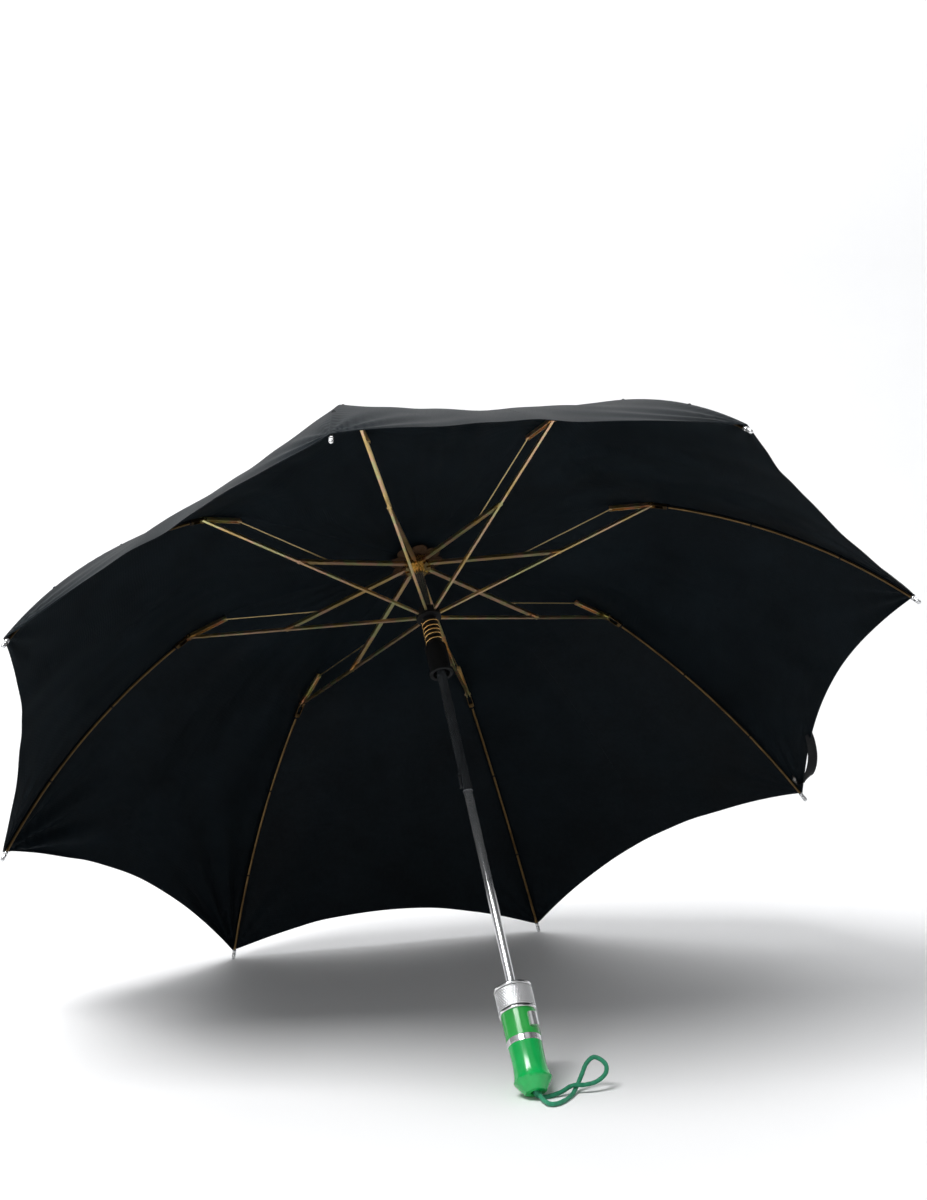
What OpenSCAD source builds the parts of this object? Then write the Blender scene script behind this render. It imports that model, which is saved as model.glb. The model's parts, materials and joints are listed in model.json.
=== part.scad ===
// Two-fold automatic umbrella, open. Origin at the centre of the handle's base, +Z along the
// shaft to the crown. Rib 1 is at -135 degrees and the ribs follow each other clockwise.

/* [Canopy] */
// Radius from the shaft to a rib tip
tip_r = 475; // [472:1:478]
// Height of a rib tip above the handle's base
tip_z = 384; // [382:1:386]
// Half of the angle that an outer rib bends through
rib_bow = 15; // [12:0.5:16]
// How far the hem is cut back at the middle of a gore, as a share of the outer panel
hem_scoop = 0.11; // [0.08:0.01:0.16]

/* [Rib linkage] */
// Height of the rib hinges in the crown
crown_z = 596; // [594:1:598]
// Radius of the hinge circle in the crown and in the runner
hinge_r = 11.5; // [11.5:0.1:11.8]
// Angle of a top rib below the horizontal when open
open_a = 13.4; // [13:0.1:14]
// Length of a top rib, and of a stretcher from the runner to the top rib's end
top_l = 141; // [140:0.5:142]
// Length of a stretcher from the top rib's end to the elbow
reach_l = 108; // [107:0.5:109]
// Length of an elbow's tail
tail_l = 42.3; // [42:0.1:43]
// Diameter of an outer rib
rod_d = 2.8; // [2.4:0.1:3]

/* [Shaft] */
// Outside diameter of the upper tube
upper_d = 10; // [10:0.1:10.1]
// Outside diameter of the lower tube
lower_d = 8.6; // [8.5:0.1:8.6]
// Wall of both tubes
tube_wall = 0.6; // [0.5:0.05:0.6]
// Height of the upper tube's lower end
upper_end_z = 315; // [313:1:317]

/* [Runner] */
// Length of the runner below its hinges
runner_l = 75; // [74:1:76]
// Outside diameter of the runner's body
runner_d = 22; // [21:0.5:23]

/* [Handle] */
// Length of the lower grip
lower_grip_l = 45; // [43:1:47]
// Length of the metal ring between the grips
ring_l = 6; // [5:0.5:7]
// Length of the upper grip
upper_grip_l = 25; // [25:1:26]
// Length of the knurled ferrule
ferrule_l = 26; // [26:1:28]
// Outside diameter of the ferrule
ferrule_d = 35.6; // [35:0.1:36]
// Direction of the push button around the shaft
button_a = -37; // [-40:1:-30]

/* [Hidden] */
rib_count = 8;
rib_step = 360 / rib_count;

// Rib section: a blade runs between the walls of a channel
blade_w = 2.6;
blade_h = 3;
channel_w = 4.2;
channel_gap = 2.9;
channel_h = 3.4;
web_t = 0.6;
big_pin_r = 0.6;
small_pin_r = 0.45;
pin_gap = 0.05;
ring_wire_r = 0.55;
wire_r = 0.7;
link_eye_r = 1;
cheek_t = 0.6;
cheek_gap = 0.1;
rivet_r = 1.3;
rivet_t = 0.4;
fork_l = 13;

// Points of the linkage in a rib's own plane, as [radius, height]
function down(a) = [cos(a), -sin(a)];
crown_pin = [hinge_r, crown_z];
rib_end = crown_pin + top_l * down(open_a);
runner_z = crown_z - 2 * top_l * sin(open_a);
runner_pin = [hinge_r, runner_z];
elbow = rib_end + reach_l * down(-open_a);
tip = [tip_r, tip_z];
link_at = top_l - tail_l;

// An outer rib is an arc that starts at the elbow with slope arc_a0
chord = norm(tip - elbow);
chord_a = atan2(elbow.y - tip.y, tip.x - elbow.x);
arc_a0 = chord_a - rib_bow;
arc_a1 = chord_a + rib_bow;
arc_r = chord / 2 / sin(rib_bow);
arc_c = elbow - arc_r * [sin(arc_a0), cos(arc_a0)];

// Canopy cloth
cloth_t = 0.6;
cloth_lift = 4.1;
cloth_top = crown_z + 11;
neck_r = 6;
hem_inset = 9;
inner_rows = 7;
outer_rows = 8;
gore_cols = 6;

// Stations along the handle
ring_z = lower_grip_l;
upper_grip_z = ring_z + ring_l;
ferrule_z = upper_grip_z + upper_grip_l;
handle_z = ferrule_z + ferrule_l;
fit = 0.02;
slide_gap = 0.15;

function on_ribs(name) = [for (i = [1:rib_count]) str(name, "_", i)];

// Turns a rib's own plane, x outwards and z up, to the place of rib i
module rib_place(i) rotate([0, 0, -90 - rib_step * i]) children();

// Puts a member's own frame, x along it, at a point of the rib plane with a slope below horizontal
module member(at, slope) translate([at.x, 0, at.y]) rotate([0, slope, 0]) children();

module bar(x0, x1, w, z0, z1) translate([x0, -w / 2, z0]) cube([x1 - x0, w, z1 - z0]);

module across(x, r, w) translate([x, 0, 0]) rotate([90, 0, 0]) cylinder(r = r, h = w, center = true, $fn = 32);

module rivet(x, r, w) {
    across(x, r, w + 2 * rivet_t);
    for (s = [-1, 1])
        translate([0, s * (w + rivet_t) / 2, 0]) across(x, rivet_r, rivet_t);
}

module ring(r0, r1, h) {
    difference() {
        cylinder(r = r1, h = h, $fn = 64);
        translate([0, 0, -1]) cylinder(r = r0, h = h + 2, $fn = 64);
    }
}

module tube(r, wall, h) ring(r - wall, r, h);

// Slots for the ribs: cut from the hinge circle outwards, between two heights
module rib_slots(z0, z1) {
    for (i = [1:rib_count])
        rib_place(i) bar(hinge_r - 2.3, hinge_r + 8, channel_gap, z0, z1);
}

// Ring of wire through the rib hinges, centred on each blade's hole
module hinge_ring(r) {
    sag = pow(blade_w / 2, 2) / 4 / hinge_r;
    rotate_extrude($fn = 96) translate([hinge_r + sag, 0]) circle(r = r, $fn = 24);
}

// Triangles of a tube of rings, each ring a run of side points, with both ends closed
function ring_at(sides, i, s) = i * sides + s % sides;
function tube_faces(last, sides) = concat(
    [for (i = [0:last - 1], s = [0:sides - 1])
        each [[ring_at(sides, i, s), ring_at(sides, i, s + 1), ring_at(sides, i + 1, s + 1)],
              [ring_at(sides, i, s), ring_at(sides, i + 1, s + 1), ring_at(sides, i + 1, s)]]],
    [for (s = [1:sides - 2])
        each [[0, s + 1, s], [ring_at(sides, last, 0), ring_at(sides, last, s), ring_at(sides, last, s + 1)]]]);

// ---- Rib parts, each in its own frame along x ----

module top_rib(i) color("#b08d3c")
    rib_place(i) member(crown_pin, open_a) {
        difference() {
            union() {
                across(0, blade_h / 2, blade_w);
                bar(0, 8, blade_w, -blade_h / 2, blade_h / 2);
                bar(6, top_l, channel_w, -channel_h / 2, channel_h / 2);
                across(top_l, channel_h / 2, channel_w);
            }
            bar(8, top_l + 5, channel_gap, web_t - channel_h / 2, channel_h);
            bar(top_l - 9, top_l + 5, channel_gap, -channel_h, channel_h);
            across(0, big_pin_r + pin_gap, channel_w);
        }
        rivet(top_l, big_pin_r, channel_w);
        rivet(link_at, small_pin_r, channel_w);
    }

module stretcher(i) color("#b08d3c")
    rib_place(i) member(runner_pin, -open_a)
        difference() {
            union() {
                for (x = [0, top_l, top_l + reach_l])
                    across(x, blade_h / 2, blade_w);
                bar(0, top_l + reach_l, blade_w, -blade_h / 2, blade_h / 2);
            }
            for (x = [0, top_l, top_l + reach_l])
                across(x, big_pin_r + pin_gap, channel_w);
        }

module link(i) color("#c0a050")
    rib_place(i) member(crown_pin + link_at * down(open_a), -open_a)
        difference() {
            union() {
                for (x = [0, reach_l])
                    across(x, link_eye_r, 2 * wire_r);
                rotate([0, 90, 0]) cylinder(r = wire_r, h = reach_l, $fn = 24);
            }
            for (x = [0, reach_l])
                across(x, small_pin_r + pin_gap, channel_w);
        }

// The tail carries the link's pin; the front carries the pin of the stretcher and the outer rib
module elbow_bracket(i) color("#a8842f")
    rib_place(i) member(elbow, open_a) {
        top = channel_h / 2 + 0.8;
        difference() {
            bar(-tail_l - 2, 3.5, channel_w, -blade_h / 2, top);
            bar(-tail_l - 9, 9, channel_gap, -channel_h, top - web_t);
        }
        rivet(-tail_l, small_pin_r, channel_w);
        rivet(0, big_pin_r, channel_w + 2 * (cheek_t + 2 * cheek_gap));
    }

module outer_rib(i) color("#b08d3c")
    rib_place(i) {
        inner = channel_w + 2 * cheek_gap;
        outer = inner + 2 * cheek_t;
        member(elbow, arc_a0)
            difference() {
                union() {
                    across(0, 2.4, outer);
                    bar(0, fork_l + 4, outer, -1.5, 1.5);
                }
                across(0, 5, inner);
                bar(0, fork_l, inner, -2, 2);
                across(0, big_pin_r + pin_gap, outer + 1);
            }
        root = (fork_l + 2) / arc_r * 180 / PI;
        translate([arc_c.x, 0, arc_c.y]) rotate([90, 0, 0]) rotate([0, 0, 90 - arc_a1])
            rotate_extrude(angle = arc_a1 - arc_a0 - root, $fn = 96) translate([arc_r, 0])
                circle(d = rod_d, $fn = 24);
        member(tip, arc_a1) {
            rotate([0, -90, 0]) cylinder(r = rod_d / 2 + 0.5, h = 8, $fn = 24);
            sphere(r = rod_d / 2 + 0.5, $fn = 24);
        }
    }

// ---- Canopy: a closed thin shell, straight from rib to rib at each station ----

// Height of the inner panel's top: level at the crown and sloping as the outer rib does at the elbow
function over_elbow(off) = elbow + (cloth_lift + off) * [sin(arc_a0), cos(arc_a0)];
function inner_panel(s, off) =
    let (edge = over_elbow(off), top = cloth_top + off, fall = top - edge.y,
         p = edge.x * tan(arc_a0) / fall, r = neck_r + (edge.x - neck_r) * s)
    [r, top - fall * pow(r / edge.x, p)];
function outer_panel(s, off) =
    let (span = arc_a1 - arc_a0 - hem_inset / arc_r * 180 / PI, a = arc_a0 + span * s)
    arc_c + (arc_r + cloth_lift + off) * [sin(a), cos(a)];
function over_rib(s, off) = s < 1 ? inner_panel(s, off) : outer_panel(s - 1, off);

// Station of row i at gore share u, with the hem scooped back between ribs
function station(i, u) =
    i <= inner_rows ? i / inner_rows
    : 1 + (i - inner_rows) / outer_rows * (1 - hem_scoop * 4 * u * (1 - u));

function cloth_point(i, j, off) =
    let (k = floor(j / gore_cols), u = j / gore_cols - k, p = over_rib(station(i, u), off),
         a0 = -90 - rib_step * k, a1 = a0 - rib_step)
    [p.x * ((1 - u) * cos(a0) + u * cos(a1)), p.x * ((1 - u) * sin(a0) + u * sin(a1)), p.y];

rows = inner_rows + outer_rows;
cols = gore_cols * rib_count;
function at(side, i, j) = side * (rows + 1) * cols + i * cols + j % cols;
function quad(a, b, c, d) = [[a, b, c], [a, c, d]];

module canopy() color("#181818") {
    points = [for (off = [cloth_t, 0], i = [0:rows], j = [0:cols - 1]) cloth_point(i, j, off)];
    outside = [for (i = [0:rows - 1], j = [0:cols - 1])
        each quad(at(0, i, j), at(0, i, j + 1), at(0, i + 1, j + 1), at(0, i + 1, j))];
    inside = [for (i = [0:rows - 1], j = [0:cols - 1])
        each quad(at(1, i, j), at(1, i + 1, j), at(1, i + 1, j + 1), at(1, i, j + 1))];
    neck = [for (j = [0:cols - 1]) each quad(at(0, 0, j), at(1, 0, j), at(1, 0, j + 1), at(0, 0, j + 1))];
    hem = [for (j = [0:cols - 1])
        each quad(at(0, rows, j), at(0, rows, j + 1), at(1, rows, j + 1), at(1, rows, j))];
    polyhedron(points, concat(outside, inside, neck, hem), convexity = 10);
}

// Closing strap, which stands off the hem beside rib 5
function hem_point(rib, u) = cloth_point(rows, (rib + u) * gore_cols, 0);
module tie_band() color("#202020") {
    root = hem_point(5, 0.07);
    end = hem_point(5, 0.36);
    run = end - root;
    translate(root - [0, 0, 6]) rotate([0, 0, atan2(run.y, run.x)])
        translate([0, 7, 0]) cube([norm(run), 1.2, 12]);
}

// ---- Crown ----

crown_r = 13.6;
crown_top = 4.5;
crown_skirt = 12;
stud_r = 3;
stud_l = 9;

module crown() color("#b39242")
    translate([0, 0, crown_z]) difference() {
        union() {
            translate([0, 0, -crown_top]) cylinder(r = crown_r, h = 2 * crown_top, $fn = 96);
            translate([0, 0, -crown_skirt]) cylinder(r = 6.8, h = crown_skirt, $fn = 64);
            cylinder(r = neck_r - 0.7, h = cloth_top - crown_z + 1.5, $fn = 64);
            cylinder(r = stud_r, h = cloth_top - crown_z + 1.5 + stud_l, $fn = 48);
        }
        translate([0, 0, -crown_skirt - 1])
            cylinder(d = upper_d + 2 * fit, h = crown_skirt + crown_top + 2, $fn = 64);
        rib_slots(-crown_top - 1, blade_h / 2 + 0.5);
        hinge_ring(ring_wire_r + fit);
    }

module crown_wire() color("#c9a84e") translate([0, 0, crown_z]) hinge_ring(ring_wire_r);

// Cap and point above the cloth, screwed on the crown's stud
cap_z = cloth_top + 1.5;
point_r = 3.5;
point_l = 16;
cap_l = 26;

module crown_cap() color("#2a2a2a")
    translate([0, 0, cap_z]) difference() {
        union() {
            cylinder(r = 11, h = 1.6, $fn = 96);
            translate([0, 0, 1.6]) cylinder(r1 = 9, r2 = 4.6, h = 6, $fn = 96);
            translate([0, 0, 7]) cylinder(r = point_r, h = cap_l - 7, $fn = 64);
        }
        translate([0, 0, -1]) cylinder(r = stud_r + fit, h = stud_l + 1.5, $fn = 48);
    }

module rosette() color("#5a3a24")
    translate([0, 0, crown_z + crown_top + 1.5]) ring(neck_r, 22, 0.8);

// ---- Shaft ----

module upper_tube() color("#26272a")
    translate([0, 0, upper_end_z])
        tube(upper_d / 2, tube_wall, crown_z + crown_top - upper_end_z);

module lower_tube() color("#d8d8dc")
    translate([0, 0, 12]) tube(lower_d / 2, tube_wall, upper_end_z + 30 - 12);

// Leaf that locks the upper tube's end, hinged at its top
catch_a = -150;
catch_l = 14;
catch_w = 3;
catch_t = 0.5;
catch_gap = 0.7;
catch_hook = 1.2;
catch_z = upper_end_z + 4;

module tube_catch() color("#9a9a9e")
    rotate([0, 0, catch_a]) translate([upper_d / 2, 0, catch_z]) {
        bar(catch_gap, catch_gap + catch_t, catch_w, 0, catch_l);
        bar(slide_gap, catch_gap + catch_t, catch_w, catch_l - 2, catch_l);
        bar(catch_gap, catch_gap + catch_hook, catch_w, 0, 1.2);
    }

// A coil of round wire about +Z, from height z0, closed at both ends
module coil(r, wire_r, length, turns, steps, sides) {
    rings = turns * steps;
    points = [for (i = [0:rings], s = [0:sides - 1])
        let (a = 360 * i / steps, b = 360 * s / sides, q = r + wire_r * cos(b))
        [q * cos(a), q * sin(a), length * i / rings + wire_r * sin(b)]];
    polyhedron(points, tube_faces(rings, sides), convexity = 10);
}

module lift_spring() color("#8c8c90")
    translate([0, 0, 60]) coil(2.8, 0.4, crown_z + crown_top - 64, 30, 12, 5);

// ---- Runner ----

runner_bore = upper_d / 2 + slide_gap;
spring_top = -5.5;
spring_end = -41;
skirt_r = 8.6;
skirt_l = 16;

module runner() color("#141414")
    translate([0, 0, runner_z]) difference() {
        union() {
            translate([0, 0, -crown_top]) cylinder(r = 13, h = 2 * crown_top, $fn = 96);
            translate([0, 0, -runner_l + 1]) cylinder(r = 7.7, h = runner_l, $fn = 64);
            translate([0, 0, -runner_l + 3])
                cylinder(d = runner_d, h = runner_l - 3 + spring_end, $fn = 96);
            translate([0, 0, -runner_l]) cylinder(r = 12, h = 4, $fn = 96);
        }
        translate([0, 0, -runner_l - 1]) cylinder(r = runner_bore, h = runner_l + 10, $fn = 64);
        translate([0, 0, -runner_l - 1]) cylinder(r = skirt_r, h = skirt_l + 1, $fn = 64);
        translate([0, 0, -runner_l + 1]) cylinder(r = skirt_r + 1.2, h = 5, $fn = 64);
        rotate([0, 0, catch_a])
            bar(0, 7.2, catch_w + 0.6, -runner_l - 1, crown_top + 1);
        rib_slots(-blade_h / 2 - 0.5, crown_top + 1);
        hinge_ring(ring_wire_r + fit);
    }

module runner_wire() color("#c9a84e") translate([0, 0, runner_z]) hinge_ring(ring_wire_r);

module runner_spring() color("#b5833a")
    translate([0, 0, runner_z + spring_end + 1])
        coil(8.6, 0.75, spring_top - spring_end - 2, 5, 24, 8);

// ---- Handle ----

grip_r = 16.2;
waist_r = 14.8;
flare_r = 17.6;
flare_z = 11.5;
foot_r = 9.5;
tube_fit = lower_d / 2 + fit;
hollow_r = 12.6;
cord_hole_r = 4.6;
cord_hole_l = 4;

// Lower grip outline: a flat foot, a cone out to the flare, a waist, and a plain upper end
function grip_out(s) = waist_r + (grip_r - 0.5 - waist_r) * pow(s, 2) + (flare_r - waist_r) * pow(1 - s, 4);

module grip_lower() color("#0c8a4a")
    difference() {
        rotate_extrude($fn = 96)
            polygon(concat(
                [[0, 0], [foot_r, 0], [foot_r + 1, 0.5], [flare_r - 0.6, flare_z - 1.5], [flare_r, flare_z]],
                [for (s = [0.05:0.05:1]) [grip_out(s), flare_z + (lower_grip_l - flare_z) * s]],
                [[0, lower_grip_l]]));
        translate([0, 0, 12]) cylinder(r = tube_fit, h = lower_grip_l, $fn = 64);
        translate([0, 0, -1]) cylinder(r = cord_hole_r, h = cord_hole_l + 1, $fn = 48);
    }

module grip_ring() color("#d4d4d8")
    translate([0, 0, ring_z]) difference() {
        union() {
            cylinder(r = grip_r - 0.4, h = ring_l, $fn = 96);
            translate([0, 0, 1]) cylinder(r = grip_r, h = ring_l - 2, $fn = 96);
        }
        translate([0, 0, -1]) cylinder(r = tube_fit, h = ring_l + 2, $fn = 64);
    }

// Push button, in an opening of the upper grip
button_w = 10;
button_h = 13;
button_out = 4;
button_z = upper_grip_z + (upper_grip_l - button_h) / 2;
button_back = grip_r - 4.2;
button_curve = 7.2;
button_travel = 2;

module grip_upper() color("#2f8f3a")
    difference() {
        translate([0, 0, upper_grip_z]) ring(hollow_r, grip_r, upper_grip_l);
        rotate([0, 0, button_a]) bar(5, grip_r + 5, button_w + 0.4, button_z - 0.2, button_z + button_h + 0.2);
    }

module button() color("#cfd0d4")
    rotate([0, 0, button_a]) translate([0, 0, button_z])
        linear_extrude(button_h) intersection() {
            translate([button_back, -button_w / 2]) square([grip_r + button_out - button_back, button_w]);
            translate([grip_r + button_out - button_curve, 0]) circle(r = button_curve, $fn = 96);
        }

// Hook behind the button: it rises beside the tube and holds the runner's inner groove when closed
hook_in = 6.7;
hook_t = 1;
hook_w = 4;
hook_z = ferrule_z + 15;

module latch() color("#a0a0a4")
    rotate([0, 0, button_a]) {
        bar(hook_in, button_back, hook_w, button_z + 4, button_z + 7);
        bar(hook_in, hook_in + hook_t, hook_w, button_z + 4, hook_z + 3);
        bar(hook_in, hook_in + 2.4, hook_w, hook_z + 0.3, hook_z + 3);
    }

module ferrule() color("#dcdce0")
    translate([0, 0, ferrule_z]) difference() {
        union() {
            cylinder(d = ferrule_d - 0.8, h = ferrule_l, $fn = 96);
            for (z = [0, ferrule_l - 3])
                translate([0, 0, z]) cylinder(d = ferrule_d, h = 3, $fn = 96);
        }
        translate([0, 0, 3]) cylinder(r = hollow_r, h = ferrule_l, $fn = 96);
        translate([0, 0, -1]) cylinder(r = tube_fit, h = 5, $fn = 64);
        rotate([0, 0, button_a]) bar(4, hook_in + 1.6, hook_w + 0.6, -1, 4);
    }

// ---- Wrist cord: two strands from the base that cross once and open into a loop ----

cord_r = 1.85;
cord_side = [0.924, 0.383, 0];
cord_back = [-0.383, 0.924, 0];
cord_up = [0.3, -0.7, 0.6];
cord_out = [[0, 2, 1.5], [0.6, 2, -0.6], [2.6, 2, -2.6], [10, 2, -4], [23, 2, -1.5], [35, 2, 3.5],
    [47, 0.5, 2.5], [58, -1, 4]];
cord_loop = [[67, -3, 10], [68.5, -3, 19], [61, -1, 27], [53, 1, 23], [47, 4, 14]];
cord_home = [[41, 6.5, 5], [31, -1, -7], [16, -13, -17], [6, -15, -18], [3, -7, -10], [2.4, -2.4, -3],
    [0.6, -2, -0.6], [0, -2, 1.5]];
cord_path = concat(cord_out, cord_loop, cord_home);

function cord_point(p) = p.x * cord_side + p.y * cord_back + [0, 0, p.z];
function spline(p, i, t) =
    let (n = len(p), a = p[max(i - 1, 0)], b = p[i], c = p[min(i + 1, n - 1)], d = p[min(i + 2, n - 1)])
    0.5 * (2 * b + (c - a) * t + (2 * a - 5 * b + 4 * c - d) * t * t + (3 * b - a - 3 * c + d) * t * t * t);
function unit(v) = v / norm(v);

module wrist_cord() color("#1f7a3c") {
    steps = 4;
    sides = 10;
    line = concat([for (i = [0:len(cord_path) - 2], k = [0:steps - 1])
        cord_point(spline(cord_path, i, k / steps))], [cord_point(cord_path[len(cord_path) - 1])]);
    last = len(line) - 1;
    points = [for (i = [0:last])
        let (t = unit(line[min(i + 1, last)] - line[max(i - 1, 0)]),
             n = unit(cross(t, cord_up)), b = cross(n, t))
        for (s = [0:sides - 1]) line[i] + cord_r * (cos(360 * s / sides) * n + sin(360 * s / sides) * b)];
    polyhedron(points, tube_faces(last, sides), convexity = 10);
}

canopy();
tie_band();
rosette();
crown();
crown_wire();
crown_cap();
upper_tube();
tube_catch();
lift_spring();
runner();
runner_wire();
runner_spring();
lower_tube();
ferrule();
grip_upper();
grip_ring();
grip_lower();
button();
latch();
wrist_cord();
for (i = [1:rib_count]) {
    top_rib(i);
    stretcher(i);
    link(i);
    elbow_bracket(i);
    outer_rib(i);
}
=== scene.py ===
"""Looks for an open two-fold umbrella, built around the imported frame. Units are metres."""
import json
import math

import bpy
import numpy as np
from mathutils import Matrix, Vector


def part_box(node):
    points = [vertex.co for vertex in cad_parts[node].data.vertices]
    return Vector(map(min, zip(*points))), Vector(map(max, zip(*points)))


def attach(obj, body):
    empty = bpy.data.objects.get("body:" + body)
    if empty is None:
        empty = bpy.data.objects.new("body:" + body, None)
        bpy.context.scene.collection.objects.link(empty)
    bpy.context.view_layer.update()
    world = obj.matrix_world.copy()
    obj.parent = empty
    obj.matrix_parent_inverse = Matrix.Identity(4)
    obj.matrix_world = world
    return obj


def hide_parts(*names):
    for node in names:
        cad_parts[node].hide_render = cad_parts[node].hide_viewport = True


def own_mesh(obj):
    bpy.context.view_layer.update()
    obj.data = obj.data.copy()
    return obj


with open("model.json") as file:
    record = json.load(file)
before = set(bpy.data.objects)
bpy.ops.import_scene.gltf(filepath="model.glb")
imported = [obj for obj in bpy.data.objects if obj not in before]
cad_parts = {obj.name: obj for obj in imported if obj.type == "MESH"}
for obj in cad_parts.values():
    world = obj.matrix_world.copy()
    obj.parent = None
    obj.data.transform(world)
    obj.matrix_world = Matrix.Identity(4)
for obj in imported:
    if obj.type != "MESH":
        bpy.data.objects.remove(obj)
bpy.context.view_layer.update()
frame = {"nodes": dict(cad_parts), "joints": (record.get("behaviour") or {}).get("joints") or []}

RIBS = 8
STEP = math.radians(45)
MM = 0.001
JOINTS = {j["name"]: j for j in frame["joints"]}


# ---- Places, all from the frame ----

def rib_angle(rib):
    """Azimuth of a rib. Rib 8 points along -Y and the numbers run clockwise seen from above."""
    return -math.pi / 2 - STEP * rib


def in_rib_plane(joint):
    """A rib hinge as (radius, height)."""
    x, y, z = JOINTS[joint]["pos_m"]
    return np.array([math.hypot(x, y), z])


CROWN = in_rib_plane("fold")
ELBOW = in_rib_plane("elbow_1_turn")
CAP_R = 1.9 * MM
TIP = np.array([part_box("outer_rib_6")[1].x - CAP_R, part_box("outer_rib_6")[0].z + CAP_R])

# The outer rib is an arc that bends through twice BOW between the elbow and the tip
BOW = math.radians(15)
CHORD = np.linalg.norm(TIP - ELBOW)
CHORD_A = math.atan2(ELBOW[1] - TIP[1], TIP[0] - ELBOW[0])
ARC_A0 = CHORD_A - BOW
ARC_A1 = CHORD_A + BOW
ARC_R = CHORD / 2 / math.sin(BOW)
ARC_C = ELBOW - ARC_R * np.array([math.sin(ARC_A0), math.cos(ARC_A0)])


def on_arc(share, off=0.0):
    """Point of an outer rib at a share of its length, pushed outwards by off."""
    a = ARC_A0 + (ARC_A1 - ARC_A0) * share
    return ARC_C + (ARC_R + off) * np.array([math.sin(a), math.cos(a)])


def place(rib, radius, side, height):
    """A point of rib's own frame (outwards, sideways, up) in the row frame."""
    a = rib_angle(rib)
    return Vector((radius * math.cos(a) - side * math.sin(a),
                   radius * math.sin(a) + side * math.cos(a), height))


# ---- Node material helpers ----

def new_material(name):
    mat = bpy.data.materials.new(name)
    mat.use_nodes = True
    tree = mat.node_tree
    tree.nodes.clear()
    out = tree.nodes.new("ShaderNodeOutputMaterial")
    shader = tree.nodes.new("ShaderNodeBsdfPrincipled")
    tree.links.new(shader.outputs[0], out.inputs[0])
    return mat, tree, shader


def add(tree, kind, **values):
    node = tree.nodes.new("ShaderNode" + kind)
    for key, value in values.items():
        if key in node.inputs:
            node.inputs[key].default_value = value
        else:
            setattr(node, key, value)
    return node


def coords(tree, scale=(1, 1, 1), source="Object"):
    texture = add(tree, "TexCoord")
    mapping = add(tree, "Mapping", Scale=scale)
    tree.links.new(texture.outputs[source], mapping.inputs[0])
    return mapping.outputs[0]


def noise(tree, where, scale, detail=4.0, rough=0.55):
    node = add(tree, "TexNoise", Scale=scale, Detail=detail, Roughness=rough)
    tree.links.new(where, node.inputs["Vector"])
    return node.outputs["Fac"]


def ramp(tree, value, stops):
    node = add(tree, "ValToRGB")
    marks = node.color_ramp.elements
    while len(marks) < len(stops):
        marks.new(0.5)
    for mark, (at, colour) in zip(marks, stops):
        mark.position = at
        mark.color = (*colour, 1) if len(colour) == 3 else colour
    tree.links.new(value, node.inputs[0])
    return node.outputs[0]


def spread(tree, value, low, high):
    node = add(tree, "MapRange")
    node.inputs["To Min"].default_value = low
    node.inputs["To Max"].default_value = high
    tree.links.new(value, node.inputs[0])
    return node.outputs[0]


def math_node(tree, operation, a, b=None):
    node = add(tree, "Math", operation=operation)
    for socket, value in zip(node.inputs, (a, b)):
        if value is None:
            continue
        if isinstance(value, (int, float)):
            socket.default_value = value
        else:
            tree.links.new(value, socket)
    return node.outputs[0]


def bump(tree, shader, height, distance, strength=0.5):
    node = add(tree, "Bump", Strength=strength, Distance=distance)
    tree.links.new(height, node.inputs["Height"])
    tree.links.new(node.outputs[0], shader.inputs["Normal"])


def cloth_material(name, dark, light, thread=0.35 * MM, sheen=0.02, rough=0.62, gloss=0.16):
    """Plain woven cloth: fine crossed threads, a soft mottle and a little sheen."""
    mat, tree, shader = new_material(name)
    where = coords(tree)
    mottle = noise(tree, where, 14, 5)
    slub = noise(tree, coords(tree, (1, 1, 0.15)), 260, 2)
    mix = math_node(tree, "ADD", math_node(tree, "MULTIPLY", mottle, 0.7),
                    math_node(tree, "MULTIPLY", slub, 0.3))
    tree.links.new(ramp(tree, mix, [(0.3, dark), (0.72, light)]), shader.inputs["Base Color"])
    threads = []
    for axis in ("X", "Y", "Z"):
        wave = add(tree, "TexWave", bands_direction=axis, Scale=0.05 / thread)
        wave.inputs["Distortion"].default_value = 0.6
        wave.inputs["Detail"].default_value = 1
        tree.links.new(where, wave.inputs["Vector"])
        threads.append(wave.outputs["Fac"])
    weave = math_node(tree, "MULTIPLY", math_node(tree, "ADD", threads[0], threads[1]), threads[2])
    bump(tree, shader, weave, 0.15 * MM, 0.35)
    tree.links.new(spread(tree, mottle, rough - 0.08, rough + 0.1), shader.inputs["Roughness"])
    shader.inputs["Sheen Weight"].default_value = sheen
    shader.inputs["Sheen Roughness"].default_value = 0.4
    shader.inputs["Specular IOR Level"].default_value = gloss
    return mat


def metal_material(name, stops, rough=(0.12, 0.28), grain=(1, 1, 1), scale=60, pit=0.02 * MM, metallic=1.0):
    """Metal whose tint and roughness wander; grain stretches the marks along an axis."""
    mat, tree, shader = new_material(name)
    tint = noise(tree, coords(tree), scale, 3)
    marks = noise(tree, coords(tree, grain), 900, 3)
    tree.links.new(ramp(tree, tint, stops), shader.inputs["Base Color"])
    shader.inputs["Metallic"].default_value = metallic
    both = math_node(tree, "MULTIPLY", math_node(tree, "ADD", tint, marks), 0.5)
    tree.links.new(spread(tree, both, *rough), shader.inputs["Roughness"])
    bump(tree, shader, marks, pit, 0.25)
    return mat


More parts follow.
